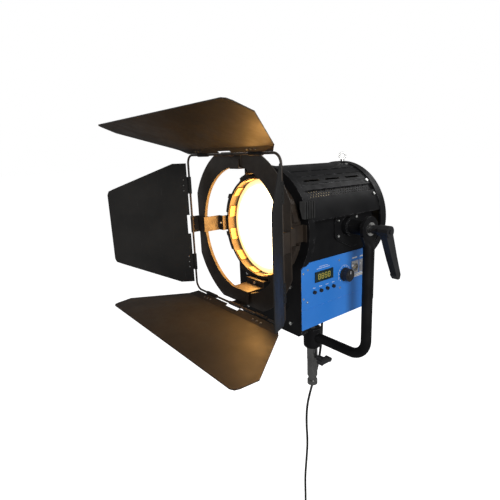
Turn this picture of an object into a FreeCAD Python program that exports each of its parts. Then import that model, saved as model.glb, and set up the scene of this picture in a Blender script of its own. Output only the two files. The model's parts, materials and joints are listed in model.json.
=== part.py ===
import FreeCAD, Part
import math
import os

# Studio fresnel spotlight with four-leaf barn doors, on a yoke with a 28 mm spud.
# All lengths are millimetres. Pieces are drawn about the optical axis: X to the control
# side, -Y along the beam, +Z up, with the barn-door hinge rods in the plane Y = 0.
# place() then moves them so that the origin is the middle of the spud.

AXIS_HEIGHT = 395.0        # optical axis above the middle of the spud
TILT_Y = 248.0             # tilt axis behind the hinge rods
TILT_Z = -6.0              # tilt axis below the optical axis

# Barn doors
ROD_HALF = 165.0           # half side of the square hinge-rod frame
ROD_R = 2.5
ROD_CORNER = 20.0
LEAF_T = 1.5
LEAF_GAP = 5.5             # sheet starts this far from the rod's axis
BIG_LEAF = [(150.0, 23.5), (170.0, 23.5), (258.0, 142.0), (254.0, 189.0)]
SMALL_LEAF = [(147.0, 38.0), (147.0, 38.0), (92.0, 184.0), (91.0, 198.0)]
LEAF_ANGLES = {"top": (125.0, 111.0), "right": (134.0, 134.0),
               "bottom": (116.0, 93.0), "left": (127.0, 127.0)}
LEAF_TURN = {"top": 0.0, "right": 90.0, "bottom": 180.0, "left": 270.0}
CLIP_OFFSET = 95.0
CLIP_WIDTH = 40.0
CLIP_OUTER = 4.2
RUNNING = 0.05             # radial running clearance

RING_IN = 138.5
RING_OUT = 182.0
RING_FLAT = 166.0
RING_Y = (20.0, 22.0)
RING_LIP_Y = 27.0
TAB_HALF = 20.0

# Lens, bezel and holder
LENS_R = 110.5
BEZEL_IN = 111.0
BEZEL_OUT = 114.5
BEZEL_Y = (70.0, 102.0)
CLIP_COUNT = 12            # retaining clips round the lens
EAR_PLATE = 2.0            # sheet thickness of the ears
EAR_INNER = 119.0
EAR_FRONT = (15.0, 17.0)
EAR_BASE = (59.0, 61.0)
EAR_REACH = 160.0
SPRING_ARCS = [(19.5, 9.0), (67.0, 11.0), (111.5, 11.0), (155.5, 9.0)]  # middle, half angle
SPRING_Y = (72.0, 84.0)
SPRING_RISE = 10.0         # stands this far out from the bezel
SPRING_BUMP_RISE = 13.0
SPRING_BUMP_ANGLE = 5.0
LATCH_PIN = (64.0, 126.0)  # y and z of the latch's pin
LATCH_PIN_R = 2.0

# Body
CASING_R = 138.0
CASING_Y = (98.0, 118.0)
SHELL_R = 135.0
SHELL_T = 3.0
SHELL_Y = (118.0, 346.0)
SLATS = [(-24.5, 24.5, 0.0), (24.5, 33.5, -0.9), (33.5, 44.7, -0.9), (44.7, 51.0, 0.0)]
GROOVE_ANGLES = (24.5, 33.5, 44.7)
GROOVE_DEPTH = 2.2
VENT_ANGLE = 39.8
VENT_SLOTS = [(135.0, 183.0), (203.0, 251.0), (273.0, 320.0)]
VENT_HALF = 3.0
MESH_ANGLES = (49.5, 60.0)
REAR_R = 137.5
REAR_Y = (346.0, 372.0)
EYE_X = 6.0
EYE_Y = 358.0
EYE_SHANK_R = 2.5
CATCH_X = (128.0, 142.0)
CATCH_Y = (81.0, 111.0)
CATCH_Z = (33.0, 68.0)
CATCH_RIB_PITCH = 6.5
BOX_X = 110.0
BOX_T = 2.0
BOX_Z = -222.0
BOX_TOP = 22.0
CASING_Z = -240.0
PANEL_T = 2.0
PANEL_Y = (99.0, 342.0)
PANEL_TOP = -71.0
PANEL_FOLD = -177.0

# Control panel layout, as (y, z) on the panel
DISPLAY = (171.0, -109.0)
DISPLAY_SIZE = (60.0, 24.0)
BUTTONS = [(138.7, -142.0), (160.0, -142.0), (181.3, -142.0), (202.5, -142.0)]
BUTTON_R = 4.0
DIAL = (242.0, -122.0)
DIAL_R = 15.0
SOCKETS = [(280.0, -112.0), (310.0, -112.0)]
SOCKET_R = 11.5
PANEL_SCREWS = [(104.0, -92.0), (104.0, -150.0), (118.0, -86.0), (222.0, -84.0),
                (226.0, -152.0), (116.0, -160.0), (334.0, -80.0), (334.0, -160.0)]

# Light engine
ROD_X = 88.0
ROD_Z = -60.0
SCREW_X = 88.0
SCREW_Z = -162.0
LED_Y = 236.0

# Yoke
YOKE_X = 175.0
TUBE_R = 12.5
BAR_Z = -320.0
BEND_R = 45.0
PADDLE_T = 8.0
PADDLE_R = 28.0
BOSS_R = 23.5
BOSS_Z = (-353.0, -297.0)
SPUD_R = 14.0
SPUD_Z = (-465.0, -353.0)
SPUD_COLLAR_Z = -389.0      # the pin proper ends here; the lock collar is above
SPUD_COLLAR_R = 14.6
BABY_R = 8.05
BABY_DEPTH = 93.0
KNOB_Z = -379.0
BOLT_R = 6.0

# Power cord: free lead, 7 mm over the sheath
CORD_R = 3.5
CORD_EXIT = (-35.0, 326.0)
UPPER_END_Z = -290.0
CORD_ROUTE = [(-35.0, 326.0, -290.3), (-35.0, 325.0, -348.0), (-37.0, 321.0, -408.0),
              (-44.0, 312.0, -470.0), (-57.0, 301.0, -532.0), (-70.0, 296.0, -596.0),
              (-75.0, 298.0, -662.0), (-73.0, 301.0, -728.0), (-76.0, 298.0, -794.0),
              (-81.0, 296.0, -862.0), (-82.0, 298.0, -930.0), (-82.0, 298.0, -995.0)]
COIL_R = 39.0
COIL_BAND = (9.5, 8.5)     # half height and half width of the bundle
PLUG_LENGTH = 46.0


# ---------- helpers ----------

def vec(x, y, z):
    return FreeCAD.Vector(x, y, z)


AXES = {"X": vec(1, 0, 0), "Y": vec(0, 1, 0), "Z": vec(0, 0, 1)}


def box(x, y, z):
    return Part.makeBox(x[1] - x[0], y[1] - y[0], z[1] - z[0], vec(x[0], y[0], z[0]))


def rod(radius, start, axis, length):
    return Part.makeCylinder(radius, length, vec(*start), AXES[axis])


def tube(outer, inner, start, axis, length):
    return rod(outer, start, axis, length).cut(rod(inner, start, axis, length))


def ring(outer, inner, y):
    """Ring about the optical axis between two Y planes."""
    return tube(outer, inner, (0, y[0], 0), "Y", y[1] - y[0])


def prism(points, axis, span):
    """Polygon extruded along an axis; points are (X, Z) for Y, (Y, Z) for X, (X, Y) for Z."""
    low = span[0]
    make = {"Y": lambda a, b: vec(a, low, b), "X": lambda a, b: vec(low, a, b),
            "Z": lambda a, b: vec(a, b, low)}[axis]
    corners = [make(a, b) for a, b in points]
    face = Part.Face(Part.makePolygon(corners + corners[:1]))
    return face.extrude(AXES[axis] * (span[1] - low))


def turned(profile):
    """Closed (radius, y) profile turned about the optical axis."""
    corners = [vec(r, y, 0) for r, y in profile]
    face = Part.Face(Part.makePolygon(corners + corners[:1]))
    return face.revolve(vec(0, 0, 0), AXES["Y"], 360)


def spin(shape, degrees, centre=(0, 0, 0), axis="Y"):
    copy = shape.copy()
    copy.rotate(vec(*centre), AXES[axis], degrees)
    return copy


def moved(shape, x=0, y=0, z=0):
    copy = shape.copy()
    copy.translate(vec(x, y, z))
    return copy


def fuse(shapes):
    return shapes[0].multiFuse(shapes[1:]).removeSplitter() if len(shapes) > 1 else shapes[0]


def group(shapes):
    return Part.makeCompound(shapes)


def mirrored(shape):
    return shape.mirror(vec(0, 0, 0), AXES["X"])


def save(name, shape):
    placed = moved(shape, 0, -TILT_Y, AXIS_HEIGHT)
    placed.exportStep("parts/" + name + ".step")


def elbow(bend, radius):
    """Quarter of a round ring, in the +X +Z quarter of the plane Y = 0."""
    section = Part.Face(Part.Wire(Part.makeCircle(radius, vec(bend, 0, 0), vec(0, 0, 1))))
    return section.revolve(vec(0, 0, 0), vec(0, -1, 0), 90)


def screw(radius, height, start, axis):
    """Pan head with a hexagon socket, standing on a surface."""
    head = rod(radius, start, axis, height)
    socket = rod(radius * 0.45, start, axis, height * 0.6)
    return head.cut(moved(socket, *(AXES[axis] * height * 0.5)))


def sector(outer, inner, y, start, end):
    """Part of a ring, between two angles measured from straight up towards +X."""
    piece = ring(outer, inner, y)
    reach = outer * 3.0
    middle = math.radians((start + end) / 2.0)
    points = [(0.0, 0.0)]
    for angle in (math.radians(start), middle, math.radians(end)):
        points.append((reach * math.sin(angle), reach * math.cos(angle)))
    return piece.common(prism(points, "Y", (y[0] - 1, y[1] + 1)))


# ---------- barn doors ----------

def leaf_plate(outline, angle):
    """Plate in a hinge frame: width along X, length away from the hinge, opened to angle."""
    plate = prism(outline, "Y", (-LEAF_T / 2, LEAF_T / 2))
    return spin(plate, 180.0 - angle, axis="X")


def leaf_sheet(shape, angles):
    (root, _), (crease, bend), (wide, wide_v), (tip, tip_v) = shape
    notch = TAB_HALF + 3.0
    flange = [(-root, LEAF_GAP), (-notch, LEAF_GAP), (-notch, 12.0), (notch, 12.0),
              (notch, LEAF_GAP), (root, LEAF_GAP), (crease, bend), (-crease, bend)]
    body = leaf_plate(flange, angles[0])
    corner = 12.0
    panel = [(-crease, 0.0), (crease, 0.0), (wide, wide_v - bend),
             (tip, tip_v - bend - corner), (tip - corner * 0.3, tip_v - bend - corner * 0.3),
             (tip - corner, tip_v - bend)]
    panel = panel + [(-x, v) for x, v in reversed(panel[2:])]
    opened = math.radians(180.0 - angles[0])
    offset = (0, -math.sin(opened) * bend, math.cos(opened) * bend)
    fold = rod(LEAF_T / 2, (-crease, 0, 0), "X", 2 * crease)
    outer = leaf_plate(panel, angles[1]).fuse(fold)
    return moved(body.fuse(moved(outer, *offset)).removeSplitter(), 0, 0, ROD_HALF)


def hinge_clip(offset, angle):
    """Loop round the rod with a riveted tail on the leaf's outer face."""
    loop = tube(CLIP_OUTER, ROD_R + RUNNING, (offset - CLIP_WIDTH / 2, 0, 0), "X", CLIP_WIDTH)
    low = LEAF_T / 2
    tail = box((offset - CLIP_WIDTH / 2, offset + CLIP_WIDTH / 2), (low, low + 1.2), (3.6, 21.0))
    clip = loop.fuse(tail)
    for shift in (-13.0, 0.0, 13.0):
        clip = clip.fuse(rod(2.2, (offset + shift, low, 15.0), "Y", 2.2))
    clip = clip.cut(rod(ROD_R + RUNNING, (offset - CLIP_WIDTH, 0, 0), "X", 2 * CLIP_WIDTH))
    return moved(spin(clip, 180.0 - angle, axis="X"), 0, 0, ROD_HALF)


def make_leaves():
    for side, (flange, panel) in LEAF_ANGLES.items():
        shape = BIG_LEAF if side in ("top", "bottom") else SMALL_LEAF
        sheet = leaf_sheet(shape, (flange, panel))
        clips = [hinge_clip(x, flange) for x in (-CLIP_OFFSET, CLIP_OFFSET)]
        save("leaf_" + side, spin(group([sheet] + clips), LEAF_TURN[side]))


def make_rod_frame():
    straight = ROD_HALF - ROD_CORNER
    pieces = []
    for quarter in range(4):
        side = rod(ROD_R, (-straight, 0, ROD_HALF), "X", 2 * straight)
        corner = moved(elbow(ROD_CORNER, ROD_R), straight, 0, straight)
        pieces += [spin(side, 90 * quarter), spin(corner, 90 * quarter)]
    save("hinge_rod_frame", fuse(pieces))


def make_ring_plate():
    plate = ring(RING_OUT, RING_IN, RING_Y)
    square = box((-RING_FLAT, RING_FLAT), (0, 40), (-RING_FLAT, RING_FLAT))
    lip = ring(RING_IN + 1.5, RING_IN, (RING_Y[0], RING_LIP_Y))
    save("ring_plate", plate.common(square).fuse(lip))


def make_ring_straps():
    """Four straps riveted to the ring plate that carry the hinge rods."""
    straps = []
    for quarter in range(4):
        foot = box((-TAB_HALF, TAB_HALF), (18.5, RING_Y[0]), (142.0, ROD_HALF))
        wall = box((-TAB_HALF, TAB_HALF), (3.0, 18.6), (ROD_HALF - 1.5, ROD_HALF))
        eye = rod(CLIP_OUTER, (-TAB_HALF, 0, ROD_HALF), "X", 2 * TAB_HALF)
        strap = foot.fuse(wall).fuse(eye)
        strap = strap.cut(rod(ROD_R, (-50, 0, ROD_HALF), "X", 100))
        straps.append(spin(strap.removeSplitter(), 90 * quarter))
    save("ring_straps", group(straps))


# ---------- lens and holder ----------

def make_lens():
    """Stepped front, flat back."""
    steps = 12
    profile = [(0.0, 100.0), (LENS_R, 100.0), (LENS_R, 94.0)]
    width = (LENS_R - 4.0) / steps
    for index in range(steps):
        outer = LENS_R - 4.0 - index * width
        slope = 3.2 * (outer / LENS_R)
        profile += [(outer, 94.0), (outer - width, 94.0 - slope * 0.9)]
    profile += [(0.0, 92.5)]
    cleaned = [profile[0]]
    for point in profile[1:]:
        if math.dist(point, cleaned[-1]) > 0.01:
            cleaned.append(point)
    save("fresnel_lens", turned(cleaned))


def make_bezel():
    wall = ring(BEZEL_OUT, BEZEL_IN, BEZEL_Y)
    front = ring(BEZEL_OUT + 2.5, BEZEL_IN, (BEZEL_Y[0], BEZEL_Y[0] + 2.0))
    seat = ring(BEZEL_IN, 103.0, (100.0, BEZEL_Y[1]))
    save("lens_bezel", fuse([wall, front, seat]))


def lens_clips():
    clips = []
    for index in range(CLIP_COUNT):
        middle = (index + 0.5) * 360.0 / CLIP_COUNT
        clips.append(sector(BEZEL_IN, BEZEL_IN - 1.8, (73.0, 93.5), middle - 7, middle + 7))
    return clips


def spring_arcs():
    """Spring arcs round the outside of the bezel, each with a raised end."""
    arcs = []
    for middle, half in SPRING_ARCS:
        low, high = middle - half, middle + half
        strip = sector(BEZEL_OUT + SPRING_RISE, BEZEL_OUT, SPRING_Y, low, high)
        bump = sector(BEZEL_OUT + SPRING_BUMP_RISE, BEZEL_OUT, SPRING_Y, low,
                      low + SPRING_BUMP_ANGLE)
        arcs.append(strip.fuse(bump).removeSplitter())
    return arcs + [mirrored(arc) for arc in arcs]


def make_lens_clips():
    save("lens_clips", group(lens_clips() + spring_arcs()))


def ear_height(half):
    """Distance from the axis at which a flat plate of this half width clears the ring plate."""
    return math.sqrt((RING_IN - 1.3) ** 2 - half ** 2)


def holder_ear(half):
    """Bracket that holds the ring plate by its inner edge; drawn at the top."""
    top = ear_height(half)
    width = (-half, half)
    base = box(width, EAR_BASE, (EAR_INNER, top))
    leg = box(width, (EAR_BASE[0], CASING_Y[0]), (EAR_INNER, EAR_INNER + EAR_PLATE))
    foot = box(width, (CASING_Y[0] - EAR_PLATE, CASING_Y[0]), (EAR_INNER, 131.0))
    wall = box(width, (EAR_FRONT[0], EAR_BASE[1]), (top - EAR_PLATE, top))
    finger = box(width, EAR_FRONT, (top - EAR_PLATE, EAR_REACH))
    guide = box(width, (28.5, 30.5), (top - EAR_PLATE, 147.0))
    return fuse([base, leg, foot, wall, finger, guide])


def make_holder():
    side = holder_ear(18.0)
    ears = [spin(side, 90), spin(holder_ear(30.0), 180), spin(side, 270)]
    save("holder_ears", group(ears))
    save("latch_bracket", make_latch_bracket())
    save("top_latch", make_latch())


def ear_screw_heads():
    head = screw(3.5, 2.5, (0, EAR_BASE[0], 127.0), "Y").mirror(vec(0, EAR_BASE[0], 0), AXES["Y"])
    return [spin(head, angle) for angle in (90, 180, 270)]


def make_latch_bracket():
    y, z = LATCH_PIN
    foot = box((-20, 20), (94.0, 98.0), (119.0, 132.0))
    cheeks = []
    for x in ((-20.0, -17.0), (17.0, 20.0)):
        cheeks.append(box(x, (y - 6.0, 98.0), (119.0, 132.0)))
    pin = rod(LATCH_PIN_R, (-20.0, y, z), "X", 40.0)
    return fuse([foot, pin] + cheeks)


def make_latch():
    y, z = LATCH_PIN
    width = (-16.0, 16.0)
    barrel = rod(5.0, (width[0], y, z), "X", 32.0)
    top = ear_height(width[1])
    riser = box(width, (y - 1.5, y + 1.5), (z, top))
    wall = box(width, (EAR_FRONT[0], y + 1.5), (top - EAR_PLATE, top))
    finger = box(width, EAR_FRONT, (top - EAR_PLATE, EAR_REACH - 6.0))
    thumb = box((-10.0, 10.0), (y + 1.4, y + 18.0), (z + 6.0, top))
    latch = fuse([barrel, riser, wall, finger, thumb])
    return latch.cut(rod(LATCH_PIN_R + RUNNING, (-30, y, z), "X", 60))


# ---------- body ----------

def make_front_casing():
    low, high = CASING_Y
    drum = rod(CASING_R, (0, low, 0), "Y", high - low)
    corner = 9.0
    lower = prism([(-BOX_X - 2, 0), (-BOX_X - 2, CASING_Z + corner), (-BOX_X - 2 + corner, CASING_Z),
                   (BOX_X + 2 - corner, CASING_Z), (BOX_X + 2, CASING_Z + corner), (BOX_X + 2, 0)],
                  "Y", (low, high))
    casing = drum.fuse(lower)
    casing = casing.cut(rod(BEZEL_OUT + 0.2, (0, low, 0), "Y", high - low))
    hollow = box((-BOX_X + 2, BOX_X - 2), (low + 4, high), (CASING_Z + 8, -100.0))
    casing = casing.cut(hollow)
    step = ring(CASING_R + 5, SHELL_R + 1.0, (high - 6, high))
    return casing.cut(step)


def make_casing():
    casing = make_front_casing()
    recess = rod(13.0, (62.0, CASING_Y[0], -172.0), "Y", 2.0)
    mirror_recess = rod(13.0, (-62.0, CASING_Y[0], -172.0), "Y", 2.0)
    panel_step = [box((BOX_X, BOX_X + 5), (PANEL_Y[0], CASING_Y[1]), (CASING_Z, PANEL_TOP + 1))]
    panel_step.append(mirrored(panel_step[0]))
    save("front_casing", casing.cut(fuse([recess, mirror_recess])).cut(group(panel_step)))


def casing_screw_heads():
    heads = []
    for x in (-78.0, 78.0):
        for z in (-215.0, -128.0):
            head = screw(4.0, 2.5, (x, CASING_Y[0], z), "Y")
            heads.append(head.mirror(vec(0, CASING_Y[0], 0), AXES["Y"]))
    return heads


def shell_band(start, end, outer, y=SHELL_Y):
    return sector(outer, SHELL_R - SHELL_T, y, start, end)


def make_barrel():
    """Top shell in long slats with grooves between them and vent slots in one slat."""
    bands = [shell_band(a, b, SHELL_R + rise) for a, b, rise in SLATS]
    bands += [shell_band(-b, -a, SHELL_R + rise) for a, b, rise in SLATS[1:]]
    shell = fuse(bands)
    for low, high in VENT_SLOTS:
        slot = box((-VENT_HALF, VENT_HALF), (low, high), (SHELL_R - 8, SHELL_R + 4))
        shell = shell.cut(spin(slot, VENT_ANGLE)).cut(spin(slot, -VENT_ANGLE))
    groove = box((-1.0, 1.0), SHELL_Y, (SHELL_R - GROOVE_DEPTH, SHELL_R + 2))
    for angle in GROOVE_ANGLES:
        shell = shell.cut(spin(groove, angle)).cut(spin(groove, -angle))
    save("barrel_top", shell)


def make_side_shells():
    """Smooth side covers from the vents down to the box walls, with a return at the foot."""
    cover = shell_band(59, 77, SHELL_R)
    foot_z = SHELL_R * math.cos(math.radians(80.0))
    shelf = box((BOX_X, 131.0), SHELL_Y, (BOX_TOP, foot_z + 4.0))
    edge = shell_band(76.9, 80, SHELL_R)
    right = fuse([cover, edge, shelf])
    save("side_shells", group([right, mirrored(right)]))


def make_vent_meshes():
    mesh = sector(SHELL_R - 3.5, SHELL_R - 5.0, (124.0, 340.0), *MESH_ANGLES)
    holes = []
    for row, angle in enumerate((52.2, 54.7, 57.2)):
        for index in range(26):
            y = 132.0 + index * 8.0 + (row % 2) * 4.0
            hole = rod(1.7, (0, y, SHELL_R - 9.0), "Z", 9.0)
            holes.append(spin(hole, angle))
    mesh = mesh.cut(group(holes))
    ribs = []
    for y in (118.0, 340.0):
        ribs.append(sector(SHELL_R - SHELL_T, SHELL_R - 8.0, (y, y + 6.0), *MESH_ANGLES))
    mesh = fuse([mesh] + ribs)
    save("vent_meshes", group([mesh, mirrored(mesh)]))


def make_housing():
    """Folded box walls under the barrel; the bottom plate closes it."""
    outer = box((-BOX_X, BOX_X), SHELL_Y, (BOX_Z, BOX_TOP))
    inner = box((-BOX_X + BOX_T, BOX_X - BOX_T), SHELL_Y, (BOX_Z - 1, BOX_TOP + 1))
    shell = outer.cut(inner)
    cuts = [box((90, 120), (DISPLAY[0] - 32, DISPLAY[0] + 32), (DISPLAY[1] - 14, DISPLAY[1] + 14))]
    for y, z in BUTTONS:
        cuts.append(rod(BUTTON_R + 1.5, (90, y, z), "X", 30))
    cuts.append(rod(6.0, (90, DIAL[0], DIAL[1]), "X", 30))
    for y, z in SOCKETS:
        cuts.append(rod(SOCKET_R + 0.5, (90, y, z), "X", 30))
    for side in (-1, 1):
        cuts.append(rod(BOLT_R, (side * 115 - 10, TILT_Y, TILT_Z), "X", 20))
    save("box_walls", shell.cut(group(cuts)))
    vents = []
    for index in range(9):
        vents.append(box((-70, 10), (150 + index * 14.0, 155 + index * 14.0), (BOX_Z - 5, BOX_Z + 5)))
    plate = box((-BOX_X, BOX_X), SHELL_Y, (BOX_Z - 2.0, BOX_Z))
    plate = plate.cut(group(vents))
    plate = plate.cut(rod(6.0, (CORD_EXIT[0], CORD_EXIT[1], BOX_Z - 5), "Z", 10))
    save("bottom_plate", plate)


def panel_blank():
    """Side panel with a chamfered front corner and a lower part that leans in."""
    y0, y1 = PANEL_Y
    outline = [(y0, PANEL_FOLD), (y0, PANEL_TOP - 13.0), (y0 + 15.0, PANEL_TOP), (y1, PANEL_TOP),
               (y1, PANEL_FOLD)]
    upper = prism(outline, "X", (BOX_X, BOX_X + PANEL_T))
    low = BOX_Z - 2.0
    lower = prism([(BOX_X, PANEL_FOLD), (BOX_X + PANEL_T, PANEL_FOLD), (BOX_X + PANEL_T, low),
                   (BOX_X, low)], "Y", (y0, y1))
    hem = box((BOX_X + PANEL_T, BOX_X + PANEL_T + 0.6), (y0, y1), (PANEL_FOLD - 1.5, PANEL_FOLD))
    return fuse([upper, lower, hem])


def make_panels():
    panel = panel_blank()
    left = mirrored(panel)
    cuts = [box((100, 120), (DISPLAY[0] - 28, DISPLAY[0] + 28), (DISPLAY[1] - 10, DISPLAY[1] + 10))]
    for y, z in BUTTONS:
        cuts.append(rod(BUTTON_R + 0.3, (100, y, z), "X", 20))
    cuts.append(rod(4.0, (100, DIAL[0], DIAL[1]), "X", 20))
    for y, z in SOCKETS:
        cuts.append(rod(SOCKET_R + 0.1, (100, y, z), "X", 20))
    save("control_panel", panel.cut(group(cuts)))
    save("left_panel", left)


def panel_screw_heads():
    face = BOX_X + PANEL_T
    heads = [screw(2.4, 1.4, (face, y, z), "X") for y, z in PANEL_SCREWS]
    plain = ((106.0, -92.0), (106.0, -165.0), (334.0, -80.0), (334.0, -165.0))
    return heads + [mirrored(screw(2.4, 1.4, (face, y, z), "X")) for y, z in plain]


def make_controls():
    face = BOX_X + PANEL_T
    y, z = DISPLAY
    window = box((face, face + 1.2), (y - 30, y + 30), (z - 12, z + 12))
    block = box((BOX_X - 8, face), (y - 26, y + 26), (z - 9.5, z + 9.5))
    save("display_module", window.fuse(block))
    for index, (y, z) in enumerate(BUTTONS, 1):
        cap = rod(BUTTON_R, (BOX_X - 3.0, y, z), "X", 10.0)
        flange = rod(BUTTON_R + 1.0, (BOX_X - 4.0, y, z), "X", 1.5)
        save("button_%d" % index, cap.fuse(flange))
    y, z = DIAL
    dial = rod(DIAL_R, (face + 1.5, y, z), "X", 17.0)
    skirt = rod(DIAL_R + 1.5, (face + 1.5, y, z), "X", 3.0)
    flutes = []
    for index in range(18):
        flute = rod(1.3, (face + 5.0, y + DIAL_R + 0.6, z), "X", 20)
        flutes.append(spin(flute, index * 20.0, (0, y, z), "X"))
    knob = dial.cut(group(flutes)).fuse(skirt)
    shaft = rod(3.0, (BOX_X - 6.5, y, z), "X", 20.0)
    save("dimmer_dial", knob.fuse(shaft))


def make_sockets():
    """Two round data connectors with square flanges."""
    face = BOX_X + PANEL_T
    bodies = []
    for index, (y, z) in enumerate(SOCKETS):
        flange = box((face, face + 2.0), (y - 13, y + 13), (z - 15.5, z + 15.5))
        barrel = rod(SOCKET_R, (BOX_X - 18, y, z), "X", 24.0)
        body = flange.fuse(barrel)
        if index == 0:
            body = body.cut(rod(SOCKET_R - 2.5, (BOX_X - 6, y, z), "X", 20))
            core = rod(6.0, (BOX_X - 6.1, y, z), "X", 9.0)
            body = body.fuse(core)
        else:
            for angle in (90, 210, 330):
                offset = math.radians(angle)
                hole = rod(1.4, (BOX_X - 6, y + 5 * math.cos(offset), z + 5 * math.sin(offset)),
                           "X", 20)
                body = body.cut(hole)
        bodies.append(body)
    save("data_sockets", group(bodies))


def make_control_board():
    board = box((BOX_X - 10.0, BOX_X - 8.4), (126.0, 262.0), (-155.0, -84.0))
    encoder = box((BOX_X - 8.4, BOX_X - 3.0), (DIAL[0] - 7, DIAL[0] + 7), (DIAL[1] - 7, DIAL[1] + 7))
    board = board.fuse(encoder)
    for y, z in BUTTONS:
        board = board.fuse(box((BOX_X - 8.4, BOX_X - 6.5), (y - 3.5, y + 3.5), (z - 3.5, z + 3.5)))
    board = board.cut(box((BOX_X - 8.1, BOX_X), (DISPLAY[0] - 27, DISPLAY[0] + 27), (-119, -99)))
    save("control_board", board.cut(rod(3.05, (BOX_X - 7, DIAL[0], DIAL[1]), "X", 20)))


def make_driver():
    case = box((-96.0, 40.0), (140.0, 300.0), (BOX_Z, BOX_Z + 46.0))
    slots = [box((-90.0, 34.0), (152 + 18 * i, 158 + 18 * i), (BOX_Z + 40, BOX_Z + 50))
             for i in range(8)]
    save("power_supply", case.cut(group(slots)))


def make_rear_cover():
    low, high = REAR_Y
    drum = rod(REAR_R, (0, low, 0), "Y", high - low)
    drum = drum.makeChamfer(5.0, [e for e in drum.Edges if abs(e.BoundBox.YMin - high) < 0.1
                                  and e.Length > 100])
    lower = prism([(-BOX_X, 0), (-BOX_X, BOX_Z + 6), (-BOX_X + 8, BOX_Z - 2), (BOX_X - 8, BOX_Z - 2),
                   (BOX_X, BOX_Z + 6), (BOX_X, 0)], "Y", (low, high - 8))
    cover = drum.fuse(lower)
    cover = cover.cut(rod(REAR_R - 4.0, (0, low, 0), "Y", high - low - 3.0))
    cover = cover.cut(box((-BOX_X + 3, BOX_X - 3), (low, high - 11), (BOX_Z + 1, -60)))
    grille = []
    for radius in (22, 32, 42, 52):
        for quarter in range(4):
            grille.append(sector(radius + 3.0, radius - 3.0, (high - 8, high + 2),
                                 quarter * 90 + 8, quarter * 90 + 82))
    cover = cover.cut(group(grille))
    cover = cover.cut(rod(5.0, (SCREW_X, low, SCREW_Z), "Y", 30))
    cover = cover.cut(rod(EYE_SHANK_R, (EYE_X, EYE_Y, REAR_R - 12.0), "Z", 20.0))
    cover = cover.cut(box((-86.0, -64.0), (low, high), (-172.0, -142.0)))
    save("rear_cover", cover)


def shell_screw_heads():
    head = screw(3.2, 2.2, (0, REAR_Y[0] - 9.0, SHELL_R), "Z")
    return [spin(head, angle) for angle in (16, 47, 63, 297, 313, 344)]


def make_switch():
    frame = box((-88.0, -62.0), (REAR_Y[1] - 8, REAR_Y[1] - 6), (-174.0, -140.0))
    body = box((-86.0, -64.0), (REAR_Y[0] - 12, REAR_Y[1] - 7.9), (-172.0, -142.0))
    opening = box((-83.0, -67.0), (REAR_Y[1] - 20, REAR_Y[1]), (-170.2, -143.8))
    save("switch_frame", frame.fuse(body).cut(opening))
    rocker = prism([(REAR_Y[1] - 12, -168.0), (REAR_Y[1] - 3.4, -168.0), (REAR_Y[1] - 6.4, -157.0),
                    (REAR_Y[1] - 6.4, -146.0), (REAR_Y[1] - 12, -146.0)], "X", (-82.5, -67.5))
    save("mains_rocker", rocker)


def make_eyebolt():
    loop = Part.makeTorus(8.0, 1.6, vec(EYE_X, EYE_Y, REAR_R + 13.0), vec(1, -0.8, 0))
    shank = rod(EYE_SHANK_R, (EYE_X, EYE_Y, REAR_R - 10.0), "Z", 15.0)
    collar = rod(5.0, (EYE_X, EYE_Y, REAR_R), "Z", 4.0)
    save("safety_eyebolt", fuse([loop, shank, collar]))


# ---------- light engine ----------

def make_engine():
    base = box((-70.0, 70.0), (LED_Y, LED_Y + 10.0), (-70.0, 70.0))
    arm = box((ROD_X - 10.0, ROD_X + 9.0), (LED_Y, LED_Y + 10.0), (SCREW_Z - 9.0, ROD_Z + 9.0))
    ear = box((60.0, ROD_X + 9.0), (LED_Y, LED_Y + 10.0), (ROD_Z - 9.0, ROD_Z + 9.0))
    left = box((-ROD_X - 9.0, -60.0), (LED_Y, LED_Y + 10.0), (ROD_Z - 9.0, ROD_Z + 9.0))
    carriage = fuse([base, arm, ear, left])
    for x in (-ROD_X, ROD_X):
        carriage = carriage.cut(rod(4.0 + RUNNING, (x, LED_Y - 5, ROD_Z), "Y", 30))
    carriage = carriage.cut(rod(4.0 + RUNNING, (SCREW_X, LED_Y - 5, SCREW_Z), "Y", 30))
    save("led_carriage", carriage)
    fins = [box((-64.0, 64.0), (LED_Y + 10.0, LED_Y + 16.0), (-64.0, 64.0))]
    for index in range(13):
        x = -63.0 + index * 10.3
        fins.append(box((x, x + 2.4), (LED_Y + 15.9, LED_Y + 46.0), (-64.0, 64.0)))
    save("heat_sink", fuse(fins))
    board = box((-27.0, 27.0), (LED_Y - 2.0, LED_Y), (-27.0, 27.0))
    save("led_module", board.fuse(rod(18.0, (0, LED_Y - 3.0, 0), "Y", 1.2)))
    cone = turned([(24.0, LED_Y - 5.0), (26.0, LED_Y - 5.0), (46.0, LED_Y - 28.0),
                   (44.0, LED_Y - 28.0)])
    flange = ring(38.0, 24.0, (LED_Y - 5.0, LED_Y - 3.5))
    foot = box((-3, 3), (LED_Y - 5.0, LED_Y), (31.0, 37.5))
    feet = [spin(foot, 90 * i) for i in range(4)]
    save("led_reflector", fuse([cone, flange] + feet))


def make_guides():
    """Front plate and the two rods that the light engine slides on."""
    length = REAR_Y[1] - 3.0 - CASING_Y[1]
    rods = [rod(4.0, (x, CASING_Y[1], ROD_Z), "Y", length) for x in (-ROD_X, ROD_X)]
    plate = ring(119.0, 98.0, (118.0, 120.0)).common(box((-107.5, 107.5), (110, 130), (-72, 119)))
    lugs = [box((x - 8, x + 8), (118.0, 120.0), (ROD_Z - 8, ROD_Z + 8)) for x in (-ROD_X, ROD_X)]
    plate = fuse([plate] + lugs)
    for x in (-ROD_X, ROD_X):
        plate = plate.cut(rod(4.0, (x, 110, ROD_Z), "Y", 20))
    save("guide_rails", group([plate] + rods))


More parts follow.
